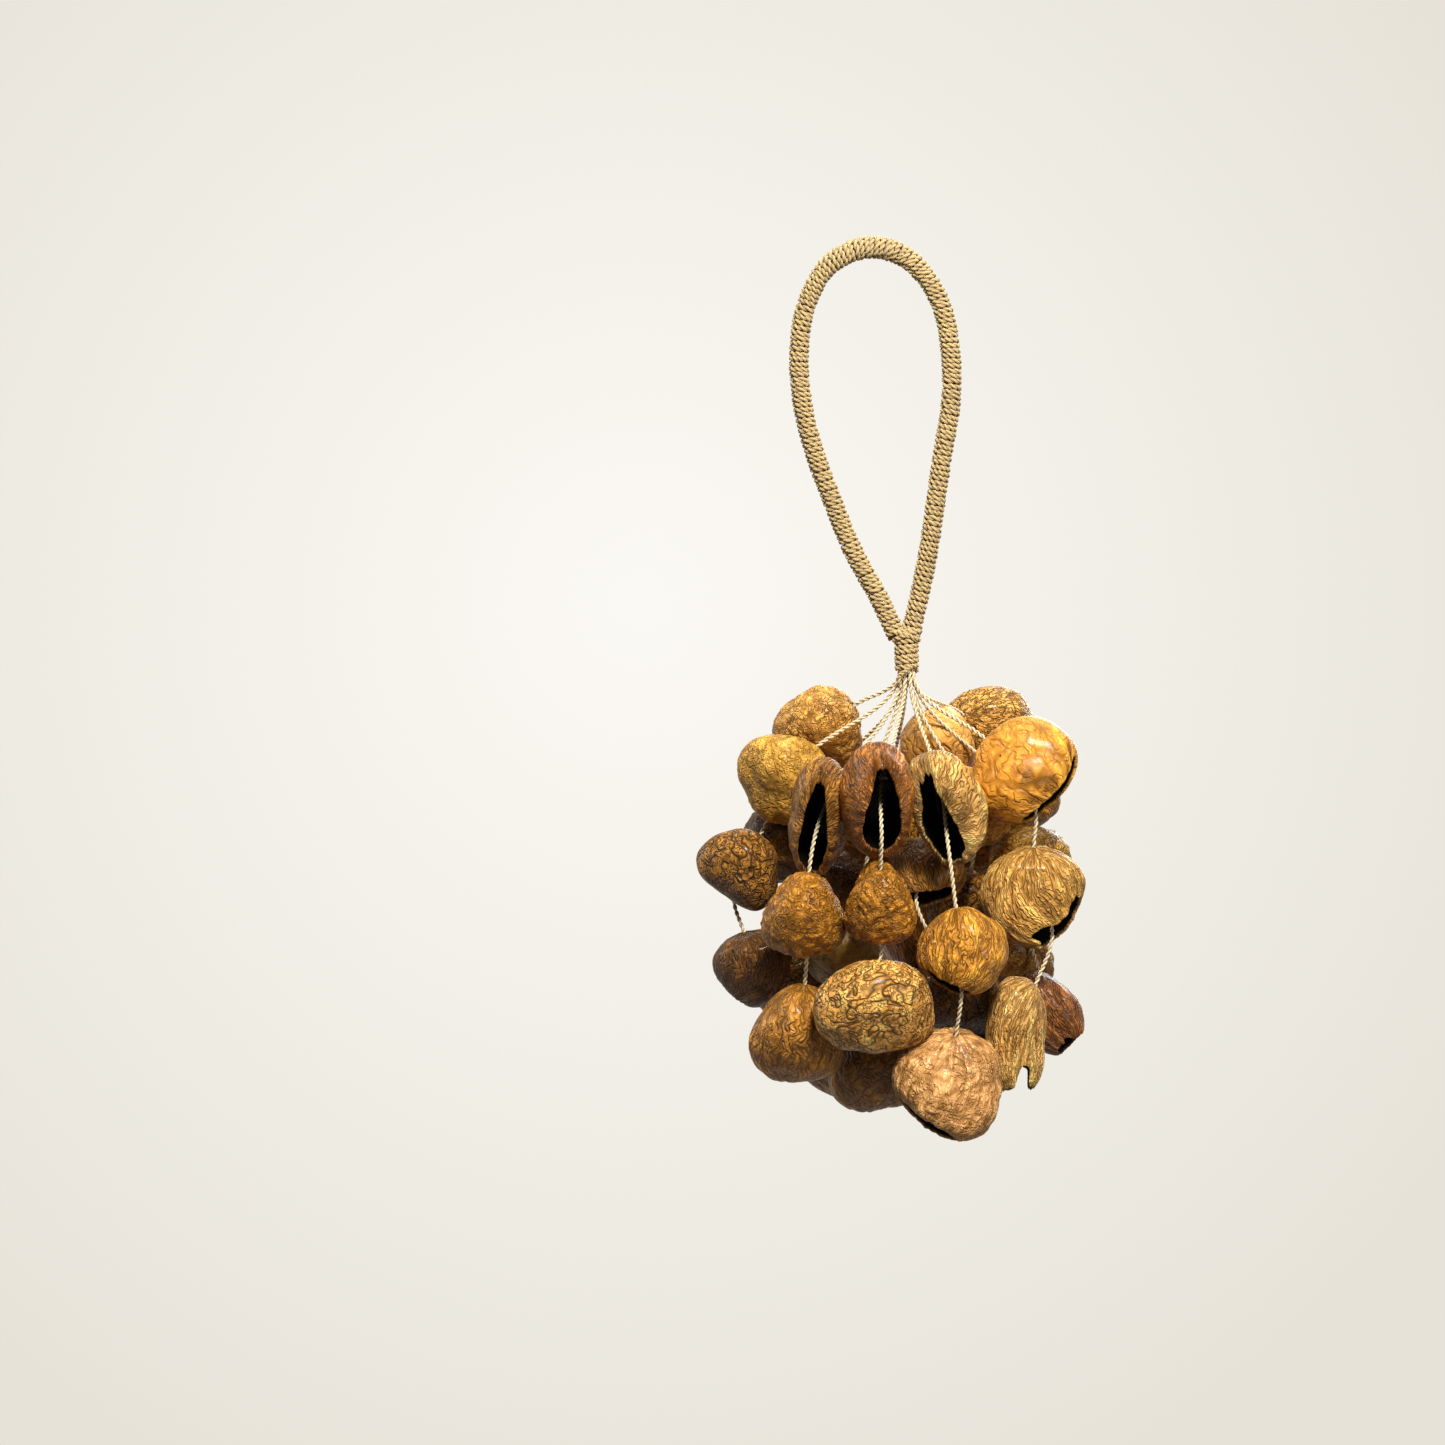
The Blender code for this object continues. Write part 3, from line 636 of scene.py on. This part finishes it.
def addCords():
    # Each strand's shells are seated on the way down its cord, and the cord swells at its knots
    material = twineFinish("cord twine", cordSizes["light"], cordSizes["dark"])
    places, bore = cordStarts()
    hung, number = [], 0
    for strand, rows in strands.items():
        shells = []
        for level, row in zip(levels, rows):
            shells.append(Shell(f"nut_{strand}_{level}", number, *row))
            number += 1
        route, knots = threadCord(shells, places[strand])
        line = evenLine(smoothLine(route, cordSizes["routeStep"]), cordSizes["step"])
        along = distances(line)
        swell = np.zeros(len(line))
        for knot in knots:
            away = np.linalg.norm(line - knot, axis=1)
            away = away / (cordSizes["knotWidth"] * cordSizes["knotShare"])
            swell = np.maximum(swell, np.exp(-away**4))
        width = 1 + (cordSizes["knotWidth"] / cordSizes["width"] - 1) * swell
        lay = 2 * math.pi / cordSizes["lay"]
        twist = lay * along + np.cumsum(swell) * cordSizes["knotTwist"]
        bodies, flows, skins = plyPair(
            line, cordSizes["aside"], width, twist, cordSizes["plies"]
        )
        node = f"cord_{strand}"
        cord = addPiece(
            f"twine_{strand}", bodies, {"flow": flows, "skin": skins}, material, node
        )
        hung += shells
    print("cords made:", len(strands))
    return hung, bore


shells, collarBore = addCords()


# The shells' finish. Colours are shares of the tone's red, green and blue. Sizes are in
# millimetres, a bend is the size and reach of a push, a stretch is a factor each way, and
# narrow is how steeply a groove's sides rise.
crust = {
    # Painted light among these colours: the groove colour is partly painted shade, the low colour partly
    # painted shade, the ridge colour a painted highlight on ridges as well as the pale rims' own colour,
    # and the nearly black inside painted shade
    "darkVeinsAndGrooveShade": (0.08, 0.065, 0.045), "low": (0.3, 0.27, 0.19), "middling": (0.7, 0.67, 0.55),
    "ridgeHighlightAndRim": (1.5, 1.5, 1.6), "stain": (0.26, 0.23, 0.16), "inside": paint(16, 10, 6),
    "curlBend": (4.0, 3.0), "curlNarrow": 9.0, "fadeSize": 12.0, "fade": 0.4,
    "ribBend": (6.0, 4.0), "ribStretch": (1.0, 1.0, 0.16), "ribNarrow": 7.0,
    "foldStretch": (1.0, 0.8, 0.3), "foldSize": 1.1, "foldNarrow": 7.0,
    "veinStretch": (1.0, 1.0, 0.5), "veinBend": (5.0, 5.0), "veinNarrow": 15.0,
    "smallBend": (3.0, 3.0), "smallShare": 0.75, "smallNarrow": 13.0,
    "grainSize": 0.5, "patchSize": 9.0, "stainSize": 14.0, "pitSpacing": 6.5, "pittedSize": 7.0,
    "roughness": 0.42, "bump": 0.0012, "coat": (0.08, 0.14), "shine": 0.16,
}


def shaded(colour, shares):
    # A linear colour times a share for each channel
    return (*[min(1.0, level * share) for level, share in zip(colour, shares)], 1.0)


def grooved(noise, steep):
    # 1 along the lines where the noise crosses its middle, down to 0 on the ridges between
    # them: 1 less the distance from the middle times the steepness, not below 0
    return (1 - abs(noise - 0.5) * steep).clipped()


def shellFinish(shell):
    # Dry fruit shell: dark grooves between curls, ribs and veins, partly their own colour and
    # partly painted shade, stained and pitted, with paler rims, a painted highlight on the ridges
    # and a nearly black inside that is painted shade
    paper = Paper(bpy.data.materials.new(shell.name + " shell"))
    kind, body = shell.kind, paint(*tones[shell.tone])
    darkVeinsAndGrooveShade, low, middling, ridgeHighlightAndRim, stained = [
        shaded(body, crust[name]) for name in ("darkVeinsAndGrooveShade", "low", "middling", "ridgeHighlightAndRim", "stain")
    ]
    place = paper.objectPlace(shell.middle)
    flow = paper.attribute("flow")
    relief, edge, inside = paper.split(paper.attribute("skin"))

    # Curls, which fade in places, ribs along the shell and folds across its lips
    curls = paper.noise(paper.bent(place, *crust["curlBend"]), kind["curlSize"], 1.0)
    clear = (paper.noise(place, crust["fadeSize"], 1.0) * 4 - 1.5).clipped()
    curls = grooved(curls, crust["curlNarrow"]) * (clear * crust["fade"] + (1 - crust["fade"]))
    lanes = paper.stretched(paper.bent(flow, *crust["ribBend"]), crust["ribStretch"])
    ribs = grooved(paper.noise(lanes, kind["ribSize"], 1.0), crust["ribNarrow"])
    lips = paper.stretched(flow, crust["foldStretch"])
    folds = grooved(paper.noise(lips, crust["foldSize"], 1.0), crust["foldNarrow"])
    folds = folds * edge**0.5

    # A net of veins in two sizes
    lanes = paper.bent(paper.stretched(flow, crust["veinStretch"]), *crust["veinBend"])
    broad = grooved(paper.noise(lanes, kind["cell"], 1.0), crust["veinNarrow"])
    curled = paper.bent(place, *crust["smallBend"])
    small = paper.noise(curled, kind["cell"] * crust["smallShare"], 1.0)
    net = broad.larger(grooved(small, crust["smallNarrow"]) * crust["smallShare"])
    wrinkles = (curls * kind["curls"]).larger(ribs * kind["ribs"]).larger(folds * kind["folds"])
    lines = (wrinkles * 0.8).larger(net * kind["net"])

    # Pits in places, patches and stains, then the colour from the low places to the ridges: painted shade
    # low down and a painted highlight on the ridges
    grain = paper.noise(place, crust["grainSize"], 2.0)
    patches = paper.noise(place, crust["patchSize"], 3.0, 0.6)
    spots = paper.node(
        "ShaderNodeTexVoronoi", None, {"Vector": place, "Scale": 1 / crust["pitSpacing"]}
    )
    pitted = (paper.noise(place, crust["pittedSize"]) * 6 - 3.0).clipped()
    pit = (1 - spots * 8).clipped() * pitted
    level = (relief * 0.7 + patches * 0.6 + grain * 0.15 - 0.2).clipped()
    # Painted shade in the low places of the relief and a painted highlight on its ridges, mixed with
    # random patches and grain
    stops = [(0.05, low), (0.35, middling), (0.6, body), (1.0, ridgeHighlightAndRim)]
    colour = paper.node("ShaderNodeValToRGB", {"stops": stops}, {0: level})
    stain = (paper.noise(place, crust["stainSize"], 2.0) * 4 - 1.9).clipped()
    colour = paper.mix(stain * 0.4, colour, stained)
    colour = paper.mix(edge**3 * 0.3, colour, ridgeHighlightAndRim)
    # Dark lines and pits: partly the veins' own colour, partly painted shade in grooves and pits
    colour = paper.mix((lines**1.2 * kind["dark"] + pit).clipped(), colour, darkVeinsAndGrooveShade)
    # Painted shade: the inside of the shell nearly black
    colour = paper.mix(inside, colour, crust["inside"])
    height = 1 - lines
    roughness = crust["roughness"] - height * 0.16 + patches * 0.12 + inside * 0.5
    return paper.finish(
        colour, roughness, height + grain * 0.12 - pit, crust["bump"],
        Coat_Weight=crust["coat"][0], Coat_Roughness=crust["coat"][1],
        Specular_IOR_Level=crust["shine"],
    )


# The relief in the shells' own thickness, in millimetres: lumps as (spacing, height), the push
# that curls the curls as (spacing, reach), then spacings, for ribs and folds round and along
# the shell, how far from the mouth folds and paleness reach, and where lips swell
swellings = {
    "lumps": [(16, 1.5), (7, 0.8)], "push": (4.5, 2.2), "curls": 2.7,
    "ribs": (2.5, 2.5, 12), "folds": (2.1, 2.1, 9), "foldReach": 8, "paleReach": 4.5,
    "lip": {"height": 0.9, "from": 4.0, "width": 3.0},
}


def addShell(shell):
    # Outside, lip and inside as rings from the hole to the mouth and back. The lip is a half
    # circle: it leans towards the mouth by wall/2 sin t and goes in by wall/2 (1 - cos t).
    wall, columns = shellSizes["wall"], shellSizes["columns"]
    outer = shell.grid(columns, shellSizes["rows"], worn=True)
    inner = shell.grid(columns, shellSizes["innerRows"], worn=True)[::-1]
    plain = shell.surface(outer)
    steps = np.linalg.norm(np.diff(plain, axis=0), axis=2)
    toMouth = np.concatenate([steps[::-1].cumsum(0)[::-1], np.zeros((1, columns))])
    around = np.arange(columns) / columns * 2 * math.pi
    girth = shell.half.mean()
    turn = np.broadcast_to(around, toMouth.shape)
    flow = np.stack([np.cos(turn) * girth, np.sin(turn) * girth, toMouth], -1) / mm + 40

    def swelling(points, flow, toMouth):
        # Lumps, curls and ribs: how far each point rises, and how much of that is fine
        flat = points.reshape(-1, 3) / mm + shell.number * 37.0
        lanes = flow.reshape(-1, 3)
        edge = np.exp(-toMouth.ravel() / (swellings["foldReach"] * mm))
        seed = shell.number * 10
        lumps = sum(
            height * fieldNoise(flat / spacing, seed + k)
            for k, (spacing, height) in enumerate(swellings["lumps"])
        )
        spacing, reach = swellings["push"]
        push = np.stack([fieldNoise(flat / spacing + 5 * k, seed + 2 + k) for k in range(3)], 1)
        curls = (flat + reach * push) / swellings["curls"]
        curls = np.sqrt(fieldNoise(curls, seed + 5) ** 2 + 0.004)
        ribs = np.sqrt(fieldNoise(lanes / swellings["ribs"], seed + 6) ** 2 + 0.004)
        folds = fieldNoise(lanes / swellings["folds"], seed + 7) * edge
        strength = shell.kind["curls"] * curls + shell.kind["ribs"] * ribs
        strength /= max(1.0, shell.kind["curls"] + shell.kind["ribs"])
        fine = shell.kind["relief"] * strength + 0.5 * shell.kind["folds"] * folds
        lip = swellings["lip"]
        away = (toMouth.ravel() / mm - lip["from"]) / lip["width"]
        swell = lip["height"] * np.exp(-away ** 2) if shell.lipped else 0
        return (lumps + fine + swell).reshape(toMouth.shape), fine.reshape(toMouth.shape)

    rise, fine = swelling(plain, flow, toMouth)
    outside = plain + outer * rise[..., None] * mm
    lean = unit(outside[-1] - outside[-2])
    lipRows = shellSizes["lipRows"]
    t = (np.arange(1, lipRows + 1) / (lipRows + 1) * math.pi)[:, None, None]
    lip = outside[-1] + wall / 2 * (np.sin(t) * lean - (1 - np.cos(t)) * outer[-1])
    innerSpot = np.linspace(len(rise) - 1, 0, len(inner)).round().astype(int)
    innerRise = rise[innerSpot]
    within = shell.surface(inner, wall) + inner * innerRise[..., None] * mm
    rings = np.concatenate([outside, lip, within])
    edge = np.exp(-toMouth / (swellings["paleReach"] * mm))
    relief = (fine - fine.mean()) / (fine.std() * 3) + 0.5
    zero, lipOnes = np.zeros_like(edge), np.ones(lip.shape[:2])
    # The lip grows dark towards the inside: painted shade going into the hollow
    dark = (1 - np.cos(t[..., 0])) / 2 * lipOnes
    skins = np.concatenate([
        np.stack([relief, edge, zero], -1),
        np.stack([relief[-1:] * lipOnes, lipOnes, dark**2], -1),
        np.stack([0 * innerRise + 0.5, 0 * innerRise, 0 * innerRise + 1], -1),
    ])
    flows = np.concatenate([flow, flow[-1:].repeat(len(lip), 0), flow[innerSpot]])
    addPiece(
        "shell" + shell.name[3:], [(shell.middle + rings, True)],
        {"flow": [flows.reshape(-1, 3)], "skin": [skins.reshape(-1, 3)]},
        shellFinish(shell), shell.name,
    )


for shell in shells:
    addShell(shell)
print("shells made:", len(shells))


# The handle loop: the route of its middle line in millimetres, and its winding
handle = {
    "route": [
        (-9.5, -138.6), (-19.7, -120.1), (-28.6, -98.7), (-36.5, -77.3), (-41.6, -55.9),
        (-42.8, -34.9), (-39.1, -13.9), (-29.8, 1.3), (-13.4, 8.4), (0.8, 4.8), (11.3, -5.5),
        (17.2, -17.0), (20.6, -34.0), (21.0, -55.9), (17.6, -77.3), (14.5, -98.7),
        (11.3, -120.1), (7.6, -138.6),
    ],
    "radius": 4.4 * mm, "crownGrowth": 0.7 * mm,
    "pitch": 2.15 * mm, "lay": 5.2 * mm, "turnPoints": 26, "routeStep": 1.0 * mm,
    "plies": {"radius": 0.74 * mm, "offset": 0.50 * mm, "sides": 6},
    "sunk": 4.0 * mm, "draw": 0.35,  # how far the legs go down into the collar, and in
    "waver": 0.03, "slip": 0.3 * mm, "slipOften": 1.6,  # how unevenly they lie, out and along
    "untwist": 2.5, "untwistLength": 9 * mm,  # how unevenly the plies twist
    # The winding's light colour, and its dark one for darker fibres and for the painted shade in the
    # furrow between plies
    "light": paint(210, 180, 120), "dark": paint(86, 62, 24),
}
twineHalf = handle["plies"]["radius"] + handle["plies"]["offset"]


def woundTwine(line, outwards, width=1.0):
    # The winding's two plies. Their twist is 2 pi s / lay and an uneven part, so that the plies
    # of neighbouring turns don't line up.
    along = distances(line)
    uneven = handle["untwist"] * lineNoise(along / handle["untwistLength"], 5)
    twist = 2 * math.pi * along / handle["lay"] + uneven
    return plyPair(line, outwards, np.full(len(line), width), twist, handle["plies"])


def windLine(middle, wideAxis, deepAxis, wide, deep, turns):
    # A helix about the middle line: out by wide cos a and deep sin a
    angle = 2 * math.pi * turns[:, None]
    outwards = wide[:, None] * np.cos(angle) * wideAxis + deep[:, None] * np.sin(angle) * deepAxis
    return middle + outwards, unit(outwards)


def addWinding():
    # Close turns round the loop, which is thicker at its crown
    legEnd = collarSizes["top"] + collarSizes["legGap"]
    leftLeg, rightLeg = [(x, 0, legEnd) for x in collarSizes["legs"]]
    leftEnd, rightEnd = [
        (x + (collarSizes["middle"] - x) * handle["draw"], 0, collarSizes["top"] - handle["sunk"])
        for x in collarSizes["legs"]
    ]
    route = [(x * mm, 0, z * mm) for x, z in handle["route"]]
    fine = smoothLine([leftEnd, leftLeg, *route, rightLeg, rightEnd], handle["routeStep"])
    turns = round(distances(fine)[-1] / handle["pitch"])
    count = turns * handle["turnPoints"]
    line = evenLine(fine, distances(fine)[-1] / count)
    ahead = unit(np.gradient(line, axis=0))
    sideways = np.cross(ahead, [0, 1.0, 0])
    # All of the crown's growth at the very top, and none half as far under the hook
    share = np.clip((line[:, 2] / line[:, 2].max() + 0.5) / 1.5, 0, 1)
    radius = handle["radius"] + handle["crownGrowth"] * share - twineHalf
    number = np.arange(len(line)) / handle["turnPoints"]
    radius = radius * (1 + handle["waver"] * lineNoise(number, 3))
    slip = handle["slip"] * lineNoise(number * handle["slipOften"], 4)
    line = line + slip[:, None] * ahead
    helix, outwards = windLine(line, sideways, np.array([0, 1.0, 0]), radius, radius, number)
    bodies, flows, skins = woundTwine(helix, outwards)
    material = twineFinish("winding twine", handle["light"], handle["dark"])
    addPiece(
        "handle_twine", bodies, {"flow": flows, "skin": skins}, material, "handle_winding"
    )
    return material


def addCollar(material):
    # Turns up the neck and over the legs where they meet, two turns that cross on the fork, and
    # the binding's end, which hangs under the neck
    top, neck, bottom = [collarSizes[name] for name in ("top", "neck", "bottom")]
    down, sideways = collarSizes["funnel"]
    half, straight = collarBore + collarSizes["wall"], collarSizes["middle"]
    fork = sum(collarSizes["legs"]) / 2
    heights = [bottom, neck, top + (neck - top) * down, top]
    middles = [straight, straight, fork + (straight - fork) * sideways, fork]
    wides = [half, half, half + collarSizes["step"], half + collarSizes["flare"]]
    deepTop = handle["radius"] + collarSizes["funnelGrowth"]
    deeps = [half, half, deepTop, deepTop]

    def wound(height, turns, outwards):
        # The twine's line at each height, that far out from the collar's outside
        middle = np.stack([np.interp(height, heights, middles), 0 * height, height], 1)
        wide, deep = [np.interp(height, heights, sizes) + outwards for sizes in (wides, deeps)]
        return windLine(middle, np.array([1.0, 0, 0]), np.array([0, 1.0, 0]), wide, deep, turns)

    highest = top - collarSizes["bare"]
    count = (highest - bottom) / handle["pitch"]
    points = round(count * handle["turnPoints"] * collarSizes["pointShare"])
    number = np.linspace(0, count, points)
    height = bottom + collarSizes["start"] + number * handle["pitch"] * collarSizes["pitchShare"]
    height = height + collarSizes["slip"] * lineNoise(number * collarSizes["slipOften"], 11)
    coils = [wound(height, number, -twineHalf)]
    for lean in (-1, 1):
        number = np.linspace(0, 1, collarSizes["crossingPoints"])
        swing = lean * collarSizes["crossing"] * np.cos(2 * math.pi * number)
        height = highest - collarSizes["crossingDrop"] + swing
        coils.append(wound(height, number, -twineHalf * collarSizes["crossingIn"]))
    parts = [woundTwine(line, outwards) for line, outwards in coils]

    # The end: out of the lowest turn at the front and down in a short curl
    end = smoothLine([
        (straight + x * mm, y * mm - half, bottom + z * mm) for x, y, z in collarSizes["tail"]
    ], collarSizes["tailStep"])
    parts.append(woundTwine(end, np.array([0.0, -1.0, 0.0]), collarSizes["tailWidth"]))
    bodies, flows, skins = [sum(lists, []) for lists in zip(*parts)]
    addPiece(
        "collar_twine", bodies, {"flow": flows, "skin": skins}, material, "collar_binding"
    )


addCollar(addWinding())
print("handle and collar wound")


# The handle's core, which shows only between the turns
coreRope = {
    "light": paint(168, 138, 92), "dark": paint(92, 66, 36),
    "stretch": (3.0, 3.0, 0.6), "roughness": 0.9, "bump": 0.0003,
}


def coreFinish():
    # Laid rope in the handle: fibres and darker gaps
    paper = Paper(bpy.data.materials.new("handle core rope"))
    place = paper.objectPlace()
    fibres = paper.noise(paper.stretched(place, coreRope["stretch"]), 1.0, 3.0)
    colour = paper.mix(fibres, coreRope["dark"], coreRope["light"])
    return paper.finish(colour, coreRope["roughness"] - fibres * 0.1, fibres, coreRope["bump"])


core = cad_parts["handle_core"]
core.data.materials.clear()
core.data.materials.append(coreFinish())
print("core finished")


# The room: where its wall and floor are and how far they reach, what the camera sees of them
# round the glow's middle and beyond its reach, what the lamps see of them, and the light
# from all round
room = {
    "wall": 3.5, "floor": -0.95, "half": 5.0,
    "middleColour": paint(251, 249, 243), "cornerColour": paint(230, 226, 216),
    "bounceColour": paint(96, 92, 84), "roughness": 0.95,
    "glow": (-0.15, -0.08), "glowReach": 0.9, "faintLight": 0.12,
}

# The lamps: place, aim, width and watts
lamps = {
    "key lamp": ((0.2, -1.3, 1.0), (0, 0, -0.22), 0.4, 60),
    "fill lamp": ((1.2, -1.5, 0.2), (0, 0, -0.22), 0.8, 12),
    "top lamp": ((0.2, 0.4, 1.2), (0, 0, -0.2), 0.8, 14),
    "rear lamp": ((0.7, 2.0, 0.5), (0, 0, -0.2), 1.2, 22),
    "left lamp": ((-1.7, 0.7, 0.3), (0, 0, -0.2), 0.8, 10),
}


def paleFinish():
    # A glow for the camera that fades with the distance from its middle, and dull for the lamps
    paper = Paper(bpy.data.materials.new("pale backdrop"))
    x, y, z = paper.split(paper.node("ShaderNodeTexCoord", None, None, 3))
    away = ((x - room["glow"][0]) ** 2.0 + (z - room["glow"][1]) ** 2.0) ** 0.5
    share = (away * (1 / room["glowReach"])).clipped()
    colour = paper.mix(share, room["middleColour"], room["cornerColour"])
    paper.feed(paper.shader.inputs["Base Color"], room["bounceColour"])
    paper.feed(paper.shader.inputs["Roughness"], room["roughness"])
    dull = Value(paper, paper.shader.outputs[0])
    glow = paper.node("ShaderNodeEmission", None, {"Color": colour, "Strength": 1.0})
    both = paper.node("ShaderNodeMixShader", None, {0: paper.seen(), 1: dull, 2: glow})
    paper.feed(paper.nodes["Material Output"].inputs["Surface"], both)
    return paper.owner


def addStage():
    half, wall, floor = room["half"], room["wall"], room["floor"]
    material = paleFinish()
    panels = {
        "wall": [
            (-half, wall, floor), (half, wall, floor), (half, wall, half), (-half, wall, half)
        ],
        "floor": [
            (-half, -half, floor), (half, -half, floor), (half, wall, floor), (-half, wall, floor)
        ],
    }
    for name, corners in panels.items():
        mesh = bpy.data.meshes.new(name)
        mesh.from_pydata(corners, [], [(0, 1, 2, 3)])
        mesh.materials.append(material)
        panel = bpy.data.objects.new(name, mesh)
        bpy.context.scene.collection.objects.link(panel)


def addWorld():
    # Faint light from all round, which the camera sees as pale as the wall's corners
    paper = Paper(bpy.data.worlds.new("studio"))
    faint = paper.nodes["Background"]
    paper.feed(faint.inputs["Color"], room["cornerColour"])
    paper.feed(faint.inputs["Strength"], room["faintLight"])
    pale = paper.node("ShaderNodeBackground", None, {"Color": room["cornerColour"]})
    both = paper.node("ShaderNodeMixShader", None, {
        0: paper.seen(), 1: Value(paper, faint.outputs[0]), 2: pale,
    })
    paper.feed(paper.nodes["World Output"].inputs["Surface"], both)
    bpy.context.scene.world = paper.owner


def addLamp(name, place, aim, size, power):
    lamp = bpy.data.lights.new(name, "AREA")
    lamp.shape, lamp.size, lamp.energy = "DISK", size, power
    holder = bpy.data.objects.new(name, lamp)
    holder.location = place
    away = np.array(aim) - np.array(place)
    level = math.hypot(away[0], away[1])
    holder.rotation_euler = (
        math.atan2(level, -away[2]), 0, math.atan2(away[1], away[0]) - math.pi / 2
    )
    bpy.context.scene.collection.objects.link(holder)


addStage()
for name, settings in lamps.items():
    addLamp(name, *settings)
addWorld()
print("room lit")
bpy.context.scene.view_settings.view_transform = "Standard"
